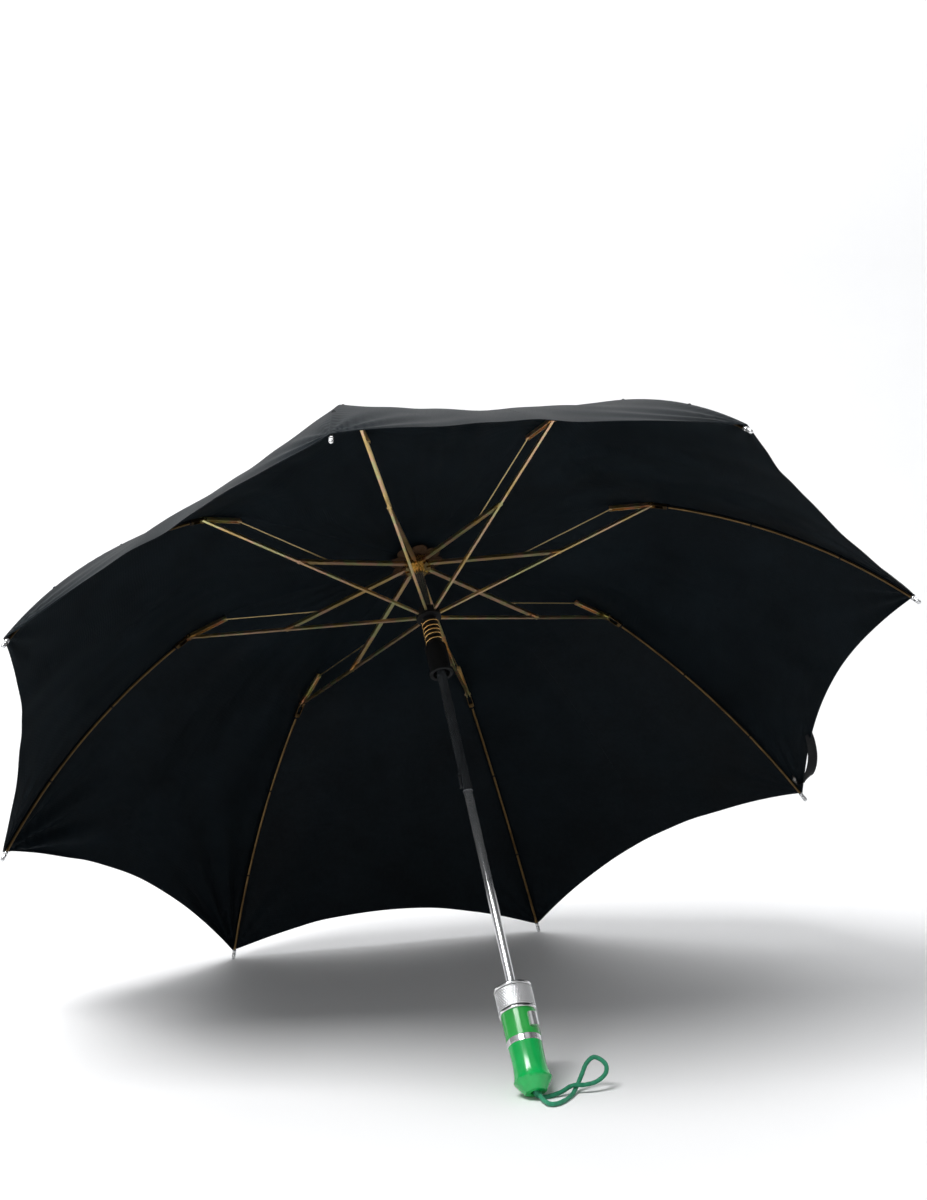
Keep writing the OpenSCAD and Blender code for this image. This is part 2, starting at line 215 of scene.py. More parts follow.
def plastic_material(name, dark, light, rough=(0.2, 0.35), coat=0.3, glow=0.0):
    """Moulded plastic: nearly even colour, faint flow marks, fine scratches and a polished coat."""
    mat, tree, shader = new_material(name)
    where = coords(tree)
    flow = noise(tree, where, 35, 3)
    scratch = noise(tree, coords(tree, (1, 1, 0.06)), 1400, 2)
    tree.links.new(ramp(tree, flow, [(0.35, dark), (0.7, light)]), shader.inputs["Base Color"])
    tree.links.new(spread(tree, scratch, *rough), shader.inputs["Roughness"])
    shader.inputs["Coat Weight"].default_value = coat
    shader.inputs["Coat Roughness"].default_value = 0.12
    if glow:
        shader.inputs["Subsurface Weight"].default_value = glow
        shader.inputs["Subsurface Radius"].default_value = (0.002, 0.004, 0.002)
        shader.inputs["Subsurface Scale"].default_value = 0.5
    bump(tree, shader, math_node(tree, "ADD", flow, scratch), 0.03 * MM, 0.3)
    return mat


CLOTH = cloth_material("canopy_cloth", (0.0015, 0.0032, 0.0046), (0.0052, 0.0094, 0.0128), sheen=0.01,
                       rough=0.55, gloss=0.09)
STRAP = cloth_material("strap_tape", (0.0030, 0.0032, 0.0040), (0.0075, 0.0080, 0.0095), thread=0.6 * MM)
FELT = cloth_material("rosette_cloth", (0.030, 0.016, 0.009), (0.085, 0.045, 0.022), thread=0.5 * MM)
THREAD = cloth_material("sewing_thread", (0.004, 0.004, 0.005), (0.010, 0.010, 0.012), thread=0.2 * MM)
RIB_STEEL = metal_material("rib_steel", [(0.28, (0.62, 0.42, 0.17)), (0.42, (0.78, 0.56, 0.24)),
    (0.5, (0.80, 0.50, 0.33)), (0.58, (0.62, 0.62, 0.30)), (0.72, (0.72, 0.50, 0.20))],
    (0.22, 0.42), scale=28)
# Painted shade: the outer ribs get a much darker copy of the gold rib steel, because they sit in shadow under the
# canopy
SHADED_OUTER_STEEL = metal_material("outer_rib_steel_shaded", [(0.3, (0.09, 0.055, 0.025)), (0.5, (0.19, 0.12, 0.05)),
    (0.7, (0.12, 0.08, 0.035))], (0.28, 0.45), scale=28)
LINK_WIRE = metal_material("link_wire", [(0.3, (0.50, 0.36, 0.16)), (0.7, (0.72, 0.55, 0.28))],
                           (0.25, 0.45), scale=40)
BRASS = metal_material("brass", [(0.3, (0.40, 0.27, 0.10)), (0.7, (0.62, 0.45, 0.19))], (0.18, 0.34))
SPRING_BRASS = metal_material("spring_brass", [(0.3, (0.60, 0.34, 0.11)), (0.7, (0.85, 0.56, 0.22))],
                              (0.15, 0.3))
BLACK_TUBE = metal_material("black_chrome", [(0.3, (0.085, 0.094, 0.102)), (0.7, (0.150, 0.162, 0.172))],
    (0.16, 0.28), (1, 1, 0.04), metallic=0.75)
CHROME = metal_material("bright_chrome", [(0.3, (0.74, 0.75, 0.77)), (0.7, (0.86, 0.86, 0.87))],
    (0.08, 0.18), (1, 1, 0.04), metallic=0.86)
SATIN = metal_material("ferrule_chrome", [(0.3, (0.80, 0.81, 0.82)), (0.7, (0.93, 0.93, 0.94))], (0.10, 0.22))
KNURLED = metal_material("knurled_chrome", [(0.3, (0.86, 0.87, 0.88)), (0.7, (0.96, 0.96, 0.97))],
                         (0.18, 0.3), metallic=0.75)
SPRING_STEEL = metal_material("spring_steel", [(0.3, (0.28, 0.28, 0.30)), (0.7, (0.50, 0.50, 0.52))],
                              (0.25, 0.4))
BLACK_PLASTIC = plastic_material("black_plastic", (0.0018, 0.0018, 0.0022), (0.0035, 0.0036, 0.0042),
                                 (0.4, 0.6), 0.02)
GREEN = plastic_material("green_grip", (0.002, 0.360, 0.070), (0.008, 0.460, 0.100), (0.14, 0.28), 0.35, 0.1)
GREEN_TOP = plastic_material("green_upper", (0.012, 0.310, 0.045), (0.030, 0.400, 0.070),
                             (0.14, 0.28), 0.35, 0.1)
CORD = cloth_material("green_cord", (0.012, 0.150, 0.075), (0.050, 0.340, 0.190),
                      thread=0.5 * MM, sheen=0.15, rough=0.5)
SNAP = metal_material("snap_metal", [(0.3, (0.20, 0.19, 0.18)), (0.7, (0.42, 0.40, 0.38))], (0.2, 0.35))



# ---- Mesh helpers ----

def mesh_object(name, verts, faces, material, smooth=True):
    mesh = bpy.data.meshes.new(name)
    mesh.from_pydata([tuple(map(float, v)) for v in verts], [], faces)
    mesh.materials.append(material)
    for polygon in mesh.polygons:
        polygon.use_smooth = smooth
    mesh.update()
    obj = bpy.data.objects.new(name, mesh)
    bpy.context.scene.collection.objects.link(obj)
    return obj


def piece(obj, body, slot, *nodes):
    """Names the body a piece rides on and the CAD nodes it stands for, which it hides. slot: not used."""
    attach(obj, body)
    if nodes:
        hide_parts(*nodes)
    return obj


def join_meshes(name, parts, material):
    """One object from several (vertices, faces) pairs."""
    verts, faces = [], []
    for more_verts, more_faces in parts:
        base = len(verts)
        verts.extend(more_verts)
        faces.extend([tuple(base + i for i in face) for face in more_faces])
    return mesh_object(name, verts, faces, material)


def lathe(outline, steps=96, wave=None):
    """Turns (radius, height) points about Z; wave(angle, i) may move each radius. The outline is closed."""
    verts, faces = [], []
    count = len(outline)
    for k in range(steps):
        angle = 2 * math.pi * k / steps
        for i, (r, z) in enumerate(outline):
            q = r + (wave(angle, i, z) if wave else 0)
            verts.append((q * math.cos(angle), q * math.sin(angle), z))
    for k in range(steps):
        for i in range(count):
            a, b = k * count + i, k * count + (i + 1) % count
            c, d = (k + 1) % steps * count + (i + 1) % count, (k + 1) % steps * count + i
            faces.append((a, d, c, b))
    return verts, faces


def sweep(points, radius, sides=12, closed=False, shape=None):
    """A round tube along points, with frames carried along so that it doesn't twist."""
    points = [Vector(p) for p in points]
    last = len(points) - 1
    verts, faces = [], []
    normal = None
    for i, point in enumerate(points):
        ahead = points[(i + 1) % len(points)] if closed else points[min(i + 1, last)]
        behind = points[i - 1] if closed else points[max(i - 1, 0)]
        tangent = (ahead - behind).normalized()
        if normal is None:
            normal = tangent.orthogonal().normalized()
        normal = (normal - tangent * normal.dot(tangent)).normalized()
        across = tangent.cross(normal)
        for s in range(sides):
            angle = 2 * math.pi * s / sides
            q = radius * (shape(i, angle) if shape else 1)
            verts.append(point + q * (math.cos(angle) * normal + math.sin(angle) * across))
    for i in range(last + 1 if closed else last):
        for s in range(sides):
            a, b = i * sides + s, i * sides + (s + 1) % sides
            c, d = (i + 1) % len(points) * sides + (s + 1) % sides, (i + 1) % len(points) * sides + s
            faces.append((a, b, c, d))
    if not closed:
        faces.append(tuple(range(sides))[::-1])
        faces.append(tuple(last * sides + s for s in range(sides)))
    return verts, faces


def spline(points, steps):
    """Smooth points through a few control points."""
    p = [Vector(q) for q in points]
    out = []
    for i in range(len(p) - 1):
        a, b, c, d = p[max(i - 1, 0)], p[i], p[i + 1], p[min(i + 2, len(p) - 1)]
        for k in range(steps):
            t = k / steps
            out.append(0.5 * (2 * b + (c - a) * t + (2 * a - 5 * b + 4 * c - d) * t * t
                              + (3 * b - a - 3 * c + d) * t ** 3))
    return out + [p[-1]]


# ---- Canopy: curved cloth, one continuous sheet at rest, cut where it has to fold ----

CLOTH_LIFT = 4.1 * MM
CLOTH_TOP = CROWN[1] + 11.8 * MM
CLOTH_T = 0.35 * MM
NECK_R = 6.5 * MM
HEM_INSET = 8 * MM
SCOOP = 0.11
SLACK_GORE = 2
TAIL_X = 212 * MM
SIDE_SHRINK = (1 - math.cos(STEP)) / 2
SIDE_REACH = math.sin(STEP) / 2
OVER_ELBOW = ELBOW + CLOTH_LIFT * np.array([math.sin(ARC_A0), math.cos(ARC_A0)])
FALL = CLOTH_TOP - OVER_ELBOW[1]
POWER = OVER_ELBOW[0] * math.tan(ARC_A0) / FALL
SPAN = ARC_A1 - ARC_A0 - HEM_INSET / ARC_R
OUTER_LENGTH = (ARC_R + CLOTH_LIFT) * SPAN


def over_rib(v):
    """Radius and height of the cloth on a rib: v runs 0 to 1 to the elbow, and 1 to 2 to the tip."""
    inner_r = NECK_R + (OVER_ELBOW[0] - NECK_R) * np.minimum(v, 1)
    inner_z = CLOTH_TOP - FALL * (inner_r / OVER_ELBOW[0]) ** POWER
    angle = ARC_A0 + SPAN * np.maximum(v - 1, 0)
    outer_r = ARC_C[0] + (ARC_R + CLOTH_LIFT) * np.sin(angle)
    outer_z = ARC_C[1] + (ARC_R + CLOTH_LIFT) * np.cos(angle)
    return np.where(v < 1, inner_r, outer_r), np.where(v < 1, inner_z, outer_z)


def creases(gore, u, v):
    """Soft waves across a gore, 0 at both ribs; u runs -1 to 1 and each gore has its own phases."""
    fade = (1 - u * u) * np.clip(v * 1.5 - 0.3, 0, 1)
    wave = 0
    for k in range(1, 6):
        phase = math.sin(12.9898 * gore + 78.233 * k) * 43.7
        lean = math.cos(7.13 * gore + 3.7 * k) * 5
        wave = wave + np.sin((1.5 + 1.8 * k) * u * 2 + lean * v + phase) / k
    strong = 2.0 if gore == SLACK_GORE else 1.0
    return 1.0 * MM * strong * fade * wave


def tip_folds(gore, side, along, out, fade):
    """Folds that fan out from a rib tip; along and out are distances from it along and off the rib."""
    far = np.hypot(along, out) + 1e-6
    turn = np.arctan2(out, along)
    size, reach = (5.5 * MM, 0.13) if gore == SLACK_GORE else (1.7 * MM, 0.085)
    shape = size * np.exp(-far / reach) * (1 - np.exp(-far / 0.015))
    return shape * np.sin(turn * 15 + 2.1 * gore + side) * np.clip(out / 0.006, 0, 1) * fade


def cloth_surface(rib, side, v, t):
    """Points of a half gore in its rib's own frame; t runs from 0 on the rib to 1 at the gore's middle."""
    gore = rib % RIBS if side < 0 else (rib - 1) % RIBS
    u = side * (1 - t)
    scoop = 1 - SCOOP * (1 - (1 - t) ** 2)
    station = np.where(v > 1, 1 + (v - 1) * scoop, v)
    r, z = over_rib(station)
    x = r * (1 - SIDE_SHRINK * t)
    y = r * SIDE_REACH * t
    middle = 1 - (1 - t) ** 2
    belly = 5 * MM * np.sin(np.clip(v - 0.75, 0, 1.25) / 1.25 * math.pi)
    sag = middle * (belly + 2 * MM * np.clip(v * 2, 0, 1))
    along = np.maximum(2 - station, 0) * OUTER_LENGTH
    pucker = 0.3 * MM * np.sin(v * 160 + gore) * np.exp(-y / 0.006) * (1 - np.exp(-y / 0.0015))
    push = creases(gore, u, v) + tip_folds(gore, side, along, y, 1 - t * t) + pucker - sag
    tilt = np.clip((v - 0.85) / 0.3, 0, 1) * 0.72
    z = z + push * np.cos(tilt)
    x = x + push * np.sin(tilt)
    return np.stack([x, side * y, z], -1)


def cloth_normals(rib, side, v, t):
    e = 1e-3
    dv = cloth_surface(rib, side, v + e, t) - cloth_surface(rib, side, v - e, t)
    t0, t1 = np.maximum(t - e, 0), np.minimum(t + e, 1)
    dt = cloth_surface(rib, side, v, t1) - cloth_surface(rib, side, v, t0)
    n = np.cross(dv, dt) * side
    return n / np.linalg.norm(n, axis=-1, keepdims=True)


def cloth_panel(name, rib, side, v, t):
    """A closed thin sheet over the grid v, t, thicker along the rib seam and the hem, with smooth normals."""
    points = cloth_surface(rib, side, v, t)
    normals = cloth_normals(rib, side, v, t)
    off_rib = np.abs(points[..., 1])
    to_hem = np.maximum(2 - v, 0) * OUTER_LENGTH
    seam = np.clip((4.2 * MM - off_rib) / (0.8 * MM), 0, 1)
    hem = np.clip((8 * MM - to_hem) / (1 * MM), 0, 1)
    under = points - normals * (CLOTH_T + 0.35 * MM * np.maximum(seam, hem))[..., None]
    rows, cols = v.shape
    a = rib_angle(rib)
    turn = np.array([[math.cos(a), -math.sin(a), 0], [math.sin(a), math.cos(a), 0], [0, 0, 1]])
    verts = np.concatenate([points.reshape(-1, 3), under.reshape(-1, 3)]) @ turn.T
    flat = normals.reshape(-1, 3) @ turn.T
    low = rows * cols

    def at(i, j, base=0):
        return base + i * cols + j
    faces = []
    for i in range(rows - 1):
        for j in range(cols - 1):
            quad = (at(i, j), at(i + 1, j), at(i + 1, j + 1), at(i, j + 1))
            faces.append(quad if side > 0 else quad[::-1])
    top_faces = len(faces)
    faces += [tuple(low + k for k in face[::-1]) for face in faces]
    edge = ([at(i, 0) for i in range(rows)] + [at(rows - 1, j) for j in range(1, cols)]
            + [at(i, cols - 1) for i in range(rows - 2, -1, -1)] + [at(0, j) for j in range(cols - 2, 0, -1)])
    for k, here in enumerate(edge):
        there = edge[(k + 1) % len(edge)]
        quad = (there, here, low + here, low + there)
        faces.append(quad if side > 0 else quad[::-1])
    obj = mesh_object(name, verts, faces, CLOTH)
    mesh = obj.data
    loops = np.zeros((len(mesh.loops), 3))
    for index, polygon in enumerate(mesh.polygons):
        for loop in polygon.loop_indices:
            vertex = mesh.loops[loop].vertex_index
            if index < top_faces:
                loops[loop] = flat[vertex]
            elif index < 2 * top_faces:
                loops[loop] = -flat[vertex - low]
            else:
                loops[loop] = polygon.normal
    mesh.normals_split_custom_set([tuple(n) for n in loops])
    return obj


def grid(v_low, v_high, v_steps, t_values, extra=()):
    """Stations between two boundaries, each a function of t; extra adds stations near the far edge."""
    t = np.array(t_values)
    shares = np.concatenate([np.linspace(0, 1, v_steps + 1)[:-1], np.array(extra, float), [1.0]])
    low, high = v_low(t), v_high(t)
    v = low[None, :] + shares[:, None] * (high - low)[None, :]
    return v, np.broadcast_to(t[None, :], v.shape).copy()


def tail_edge(t):
    """Where the cloth stops being carried by the shaft and starts being carried by the elbow's tail."""
    r = TAIL_X / (1 - SIDE_SHRINK * t)
    return (r - NECK_R) / (OVER_ELBOW[0] - NECK_R)


def foot_edge(v0, lag):
    """A boundary square to the rib."""
    return lambda t: v0 + lag * t


ELBOW_EDGE = foot_edge(1.0, 0.10)
MIDDLE_EDGE = foot_edge(1.5, 0.13)
HEM_EDGE = foot_edge(2.0, 0.0)


def fold_panel(obj, side, v0, v1, body):
    """Rides a panel on a rib part."""
    r, z = over_rib(np.array([v0, v1]))
    run = np.array([r[1] - r[0], 0, z[1] - z[0]])
    run /= np.linalg.norm(run)
    across = np.array([-math.sin(STEP / 2), side * math.cos(STEP / 2), 0])
    across = across - (across @ run) * run
    piece(obj, body, "canopy_cloth")
    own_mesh(obj)


SEAM_T = [0, 0.008, 0.02, 0.035, 0.055]
for rib in range(1, RIBS + 1):
    for side in (-1, 1):
        tag = f"{rib}_{'right' if side < 0 else 'left'}"
        whole = SEAM_T + list(np.linspace(0.08, 1, 24))
        v, t = grid(ELBOW_EDGE, MIDDLE_EDGE, 40, whole)
        obj = cloth_panel(f"cloth_middle_{tag}", rib, side, v, t)
        fold_panel(obj, side, 1.0, 1.5, f"outer_rib_{rib}")
        v, t = grid(MIDDLE_EDGE, HEM_EDGE, 40, whole, (0.978, 0.982, 0.99))
        obj = cloth_panel(f"cloth_hem_{tag}", rib, side, v, t)
        fold_panel(obj, side, 1.5, 2.0, f"outer_rib_{rib}")
        v, t = grid(tail_edge, ELBOW_EDGE, 12, whole)
        obj = cloth_panel(f"cloth_elbow_{tag}", rib, side, v, t)
        fold_panel(obj, side, 0.85, 1.0, f"elbow_{rib}")
        for part, (t0, t1) in enumerate(((0, 0.5), (0.5, 1))):
            ts = SEAM_T + list(np.linspace(0.1, 0.5, 8)) if part == 0 else list(np.linspace(t0, t1, 9))
            v, t = grid(lambda t: 0 * t, tail_edge, 24, ts)
            obj = cloth_panel(f"cloth_top_{tag}_{part + 1}", rib, side, v, t)
            piece(obj, "upper_shaft", "canopy_cloth")
            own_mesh(obj)
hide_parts("canopy")

# ---- Closing strap and its snap, by rib 5 ----

def ribbon(centres, wides, width, thick):
    """A flat tape along centres, with its width along wides."""
    verts, faces = [], []
    last = len(centres) - 1
    for i, (centre, wide) in enumerate(zip(centres, wides)):
        ahead = (centres[min(i + 1, last)] - centres[max(i - 1, 0)]).normalized()
        w = (wide - ahead * wide.dot(ahead)).normalized() * width / 2
        o = ahead.cross(w).normalized() * thick / 2
        verts += [centre - w - o, centre + w - o, centre + w + o, centre - w + o]
    for i in range(last):
        for s in range(4):
            a, b = i * 4 + s, i * 4 + (s + 1) % 4
            faces.append((a, b, b + 4, a + 4))
    return verts, faces + [(3, 2, 1, 0), tuple(last * 4 + s for s in range(4))]


def in_row(rib, point):
    return place(rib, *[float(c) for c in point])


def on_cloth(rib, side, v, t, push=0.0):
    """A point of the cloth and the cloth's outward normal, in the row frame."""
    v, t = np.array([[float(v)]]), np.array([[float(t)]])
    point = cloth_surface(rib, side, v, t)[0, 0]
    normal = cloth_normals(rib, side, v, t)[0, 0]
    return in_row(rib, point + push * normal), in_row(rib, normal)


STRAP_RIB = 5
STRAP_SIDE = -1
STRAP_T = (0.05, 0.47)
STRAP_BULGE = 15 * MM
centres, wides = [], []
for s in np.linspace(0, 1, 41):
    t = STRAP_T[0] + (STRAP_T[1] - STRAP_T[0]) * s
    point, normal = on_cloth(STRAP_RIB, STRAP_SIDE, 2.0 - 0.015, t, -0.9 * MM)
    inside, _ = on_cloth(STRAP_RIB, STRAP_SIDE, 1.9, t)
    outwards = (point - inside).normalized()
    bulge = STRAP_BULGE * math.sin(math.pi * s ** 1.25) ** 0.8
    centres.append(point + outwards * bulge - normal * 3.0 * MM * math.sin(math.pi * s))
    wides.append((normal + 0.75 * outwards * math.sin(math.pi * s)).normalized())
strap = mesh_object("closing_strap", *ribbon(centres, wides, 11 * MM, 0.9 * MM), STRAP, False)
piece(strap, f"outer_rib_{STRAP_RIB}", "strap", "tie_band")
r, z = over_rib(np.array([1.5, 2.0]))
run = Vector((r[1] - r[0], 0, z[1] - z[0])).normalized()
across = Vector((-math.sin(STEP / 2), STRAP_SIDE * math.cos(STEP / 2), 0))
across = (across - run * across.dot(run)).normalized()
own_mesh(strap)

at, normal = on_cloth(STRAP_RIB, STRAP_SIDE, 1.955, 0.035, -0.9 * MM)
snap_outline = [(0, 0), (4.6, 0), (4.9, -0.4), (4.9, -1.0), (4.3, -1.5), (2.6, -1.5), (2.3, -2.4),
                (1.5, -2.8), (0, -2.8)]
snap_verts, snap_faces = lathe([(r * MM + 1e-6, z * MM) for r, z in snap_outline], 48)
turn = Vector((0, 0, 1)).rotation_difference(normal).to_matrix()
snap = mesh_object("strap_snap", [turn @ Vector(v) + at for v in snap_verts], snap_faces, SNAP)
piece(snap, f"outer_rib_{STRAP_RIB}", "bright_tube")

# ---- Rosette: gathered petals between the crown and the cloth ----

PETAL_IN = 6.3 * MM
PETAL_SECTORS = 16
PETAL_STEPS, PETAL_ROWS = 12, 14


def petal(sector):
    """A closed sector of gathered cloth that lies flat under the open canopy."""
    width = 2 * math.pi / PETAL_SECTORS
    verts, faces = [], []
    for layer in (0, 1):
        for k in range(PETAL_STEPS + 1):
            angle = width * (sector - 0.5 + k / PETAL_STEPS)
            lobe = abs(math.cos(4 * (angle + STEP / 2))) ** 0.6
            for i in range(PETAL_ROWS + 1):
                s = i / PETAL_ROWS
                r = PETAL_IN + (15 + 7.5 * lobe + 0.7 * math.sin(96 * angle)) * s * MM
                fold = 1.3 * math.sin(16 * angle + 0.6 * math.sin(5 * angle)) * s * (1.2 - s)
                z = CROWN[1] + (7.2 + fold - 1.6 * s * s - 0.5 * layer) * MM
                verts.append((r * math.cos(angle), r * math.sin(angle), z))
    row = PETAL_ROWS + 1
    half = (PETAL_STEPS + 1) * row
    for k in range(PETAL_STEPS):
        for i in range(PETAL_ROWS):
            quad = (k * row + i, k * row + i + 1, (k + 1) * row + i + 1, (k + 1) * row + i)
            faces += [quad, tuple(half + q for q in quad[::-1])]
    edge = [i for i in range(row)] + [k * row + PETAL_ROWS for k in range(1, PETAL_STEPS + 1)]
    edge += [PETAL_STEPS * row + i for i in range(PETAL_ROWS - 1, -1, -1)]
    edge += [k * row for k in range(PETAL_STEPS - 1, 0, -1)]
    for here, there in zip(edge, edge[1:] + edge[:1]):
        faces.append((there, here, half + here, half + there))
    return mesh_object(f"rosette_petal_{sector + 1}", verts, faces, FELT)


for sector in range(PETAL_SECTORS):
    obj = petal(sector)
    piece(obj, "upper_shaft", "rosette_felt", *(["rosette"] if sector == 0 else []))
    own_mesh(obj)

# ---- Thread ties and tip caps on the outer ribs ----

TIE_SHARES = (0.06, 0.36, 0.69)


def tie_rings(rib):
    """Three wraps of thread round the rib and the seam, at each tie."""
    parts = []
    for share in TIE_SHARES:
        for wrap in (-1, 0, 1):
            here = share + wrap * 0.6 * MM / (ARC_R * 2 * BOW)
            ring = []
            for k in range(18):
                angle = 2 * math.pi * k / 18
                up = (1.35 + 3.2 * math.sin(angle)) * MM
                x, z = on_arc(here, up)
                ring.append(place(rib, x, (1.95 + 0.1 * wrap) * MM * math.cos(angle), z))
            parts.append(sweep(ring, 0.3 * MM, 6, closed=True))
    return join_meshes(f"rib_ties_{rib}", parts, THREAD)


def tip_cap(rib):
    """A pressed metal cap: a sleeve, a groove, a shoulder and a small ball."""
    along = Vector((math.cos(ARC_A1), 0, -math.sin(ARC_A1)))
    profile = [(-9.5, 1.95), (-9.4, 2.2), (-6.5, 2.2), (-6.2, 2.0), (-5.6, 2.0), (-5.3, 2.2), (-1.8, 2.2),
               (-1.2, 2.1), (-0.4, 2.15), (0.6, 1.95), (1.4, 1.4), (1.9, 0.6), (2.0, 0.1)]
    verts, faces = [], []
    side, up = Vector((0, 1, 0)), Vector((math.sin(ARC_A1), 0, math.cos(ARC_A1)))
    start = Vector((TIP[0], 0, TIP[1]))
    count = 28
    for x, r in profile:
        for k in range(count):
            angle = 2 * math.pi * k / count
            q = start + along * x * MM + (side * math.cos(angle) + up * math.sin(angle)) * r * MM
            verts.append(place(rib, q.x, q.y, q.z))
    for i in range(len(profile) - 1):
        for k in range(count):
            k1 = (k + 1) % count
            faces.append((i * count + k, i * count + k1, (i + 1) * count + k1, (i + 1) * count + k))
    faces.append(tuple(range(count))[::-1])
    faces.append(tuple((len(profile) - 1) * count + k for k in range(count)))
    return mesh_object(f"tip_cap_{rib}", verts, faces, CHROME)


for rib in range(1, RIBS + 1):
    piece(tie_rings(rib), f"outer_rib_{rib}", "strap")
    piece(tip_cap(rib), f"outer_rib_{rib}", "bright_tube")

# ---- Knurled ferrule ----

FERRULE_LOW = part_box("ferrule")[0].z
FERRULE_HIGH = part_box("ferrule")[1].z
KNURL = (FERRULE_LOW + 3.6 * MM, FERRULE_HIGH - 3.6 * MM)
KNURL_TEETH = 48
KNURL_DEEP = 0.5 * MM
KNURL_LEAD = 900


def knurl(angle, i, z):
    if i < KNURL_FIRST or i > KNURL_LAST:
        return 0
    tooth = abs(math.sin(KNURL_TEETH / 2 * angle + KNURL_LEAD * (z - KNURL[0])))
    cross = abs(math.sin(KNURL_TEETH / 2 * angle - 0.35 * KNURL_LEAD * (z - KNURL[0])))
    return KNURL_DEEP * (tooth * (0.6 + 0.4 * cross) - 0.5)


def paint_groove_shade(mat, stops):
    """Painted shade in the knurl: the tint darkens with depth into the grooves; stops are (radius in mm, share).
    """
    tree = mat.node_tree
    shader = next(n for n in tree.nodes if n.type == "BSDF_PRINCIPLED")
    tint = shader.inputs["Base Color"].links[0].from_socket
    off_axis = add(tree, "VectorMath", operation="LENGTH")
    tree.links.new(coords(tree, (1, 1, 0)), off_axis.inputs[0])
    share = math_node(tree, "DIVIDE", off_axis.outputs["Value"], 20 * MM)
    fade = ramp(tree, share, [(r / 20, (dim, dim, dim)) for r, dim in stops])
    mix = add(tree, "VectorMath", operation="MULTIPLY")
    tree.links.new(tint, mix.inputs[0])
    tree.links.new(fade, mix.inputs[1])
    tree.links.new(mix.outputs[0], shader.inputs["Base Color"])


rim = 17.8 * MM
body_r = 17.35 * MM
low = [(4.35 * MM, FERRULE_LOW), (16.9 * MM, FERRULE_LOW), (rim - 0.2 * MM, FERRULE_LOW + 0.15 * MM),
       (rim, FERRULE_LOW + 0.5 * MM), (rim, KNURL[0] - 1.4 * MM), (rim - 0.2 * MM, KNURL[0] - 1.2 * MM),
       (body_r - 0.6 * MM, KNURL[0] - 0.9 * MM), (body_r - 0.6 * MM, KNURL[0] - 0.15 * MM)]
teeth = [(body_r, z) for z in np.linspace(KNURL[0], KNURL[1], 48)]
high = [(body_r - 0.6 * MM, KNURL[1] + 0.15 * MM), (body_r - 0.6 * MM, KNURL[1] + 0.9 * MM),
        (rim - 0.2 * MM, KNURL[1] + 1.2 * MM), (rim, KNURL[1] + 1.4 * MM), (rim, FERRULE_HIGH - 0.5 * MM),
        (rim - 0.3 * MM, FERRULE_HIGH), (13.2 * MM, FERRULE_HIGH), (12.7 * MM, FERRULE_HIGH - 0.5 * MM),
        (12.6 * MM, FERRULE_LOW + 4 * MM), (11.8 * MM, FERRULE_LOW + 3 * MM),
        (4.35 * MM, FERRULE_LOW + 3 * MM)]
KNURL_FIRST, KNURL_LAST = len(low), len(low) + len(teeth) - 1
ferrule = mesh_object("knurled_ferrule", *lathe(low + teeth + high, KNURL_TEETH * 10, knurl), SATIN)
# Painted shade: the knurl's tint falls to near black at the bottom of its grooves and in the recesses beside it
paint_groove_shade(KNURLED, [(16.9, 0.06), (17.05, 0.4), (17.35, 0.85), (17.5, 1.0)])
ferrule.data.materials.append(KNURLED)
outline_length = len(low) + len(teeth) + len(high)
for polygon in ferrule.data.polygons:
    row = polygon.index % outline_length
    polygon.material_index = int(KNURL_FIRST - 3 <= row <= KNURL_LAST + 2)
piece(ferrule, "handle", "ferrule_chrome", "ferrule")

# ---- Springs ----

def coil(radius, z0, z1, turns, steps):
    """Centre line of a coil whose end turns lie close together."""
    out = []
    for k in range(int(turns * steps) + 1):
        s = k / (turns * steps)
        eased = s + 0.035 * math.sin(2 * math.pi * s) * (1 if turns < 10 else 0)
        angle = 2 * math.pi * turns * s
        out.append((radius * math.cos(angle), radius * math.sin(angle), z0 + (z1 - z0) * eased))
    return out


low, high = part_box("runner_spring")
spring = coil(8.6 * MM, low.z + 0.8 * MM, high.z - 0.8 * MM, 5.5, 40)
runner_coil = mesh_object("runner_coil", *sweep(spring, 0.8 * MM, 14), SPRING_BRASS)
piece(runner_coil, "runner", "spring_brass", "runner_spring")

low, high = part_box("lift_spring")
spring = coil(2.8 * MM, low.z + 0.5 * MM, high.z - 0.5 * MM, 40, 16)
lift_coil = mesh_object("lift_coil", *sweep(spring, 0.4 * MM, 6), SPRING_STEEL)
piece(lift_coil, "handle", "spring_steel", "lift_spring")
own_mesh(lift_coil)

# ---- Wrist cord: a braided round cord ----

CORD_SIDE = Vector((0.924, 0.383, 0))
CORD_BACK = Vector((-0.383, 0.924, 0))
CORD_OUT = [(0, 2, 1.5), (0.6, 2, -0.6), (2.6, 2, -2.6), (10, 2, -4), (23, 2, -1.5), (35, 2, 3.5), (47, 0.5, 2.5),
            (58, -1, 4)]
CORD_LOOP = [(67, -3, 10), (68.5, -3, 19), (61, -1, 27), (53, 1, 23), (47, 4, 14)]
CORD_HOME = [(41, 6.5, 5), (31, -1, -7), (16, -13, -17), (6, -15, -18), (3, -7, -10), (2.4, -2.4, -3),
             (0.6, -2, -0.6), (0, -2, 1.5)]
CORD_R = 2.05 * MM
CORD_STEPS = 30
BRAID_STRANDS = 6


def braid(i, angle):
    """Crossing strands: the higher of two diagonal waves shows."""
    along = i * 0.42
    one = math.sin(BRAID_STRANDS * angle + along)
    two = math.sin(BRAID_STRANDS * angle - along)
    return 0.9 + 0.11 * max(one, two)


cord_knots = [(s * CORD_SIDE + b * CORD_BACK + Vector((0, 0, h))) * MM
              for s, b, h in CORD_OUT + CORD_LOOP + CORD_HOME]
cord_line = spline(cord_knots, CORD_STEPS)
cord = mesh_object("braided_cord", *sweep(cord_line, CORD_R, 30, shape=braid), CORD)
piece(cord, "cord", "green_cord", "wrist_cord")

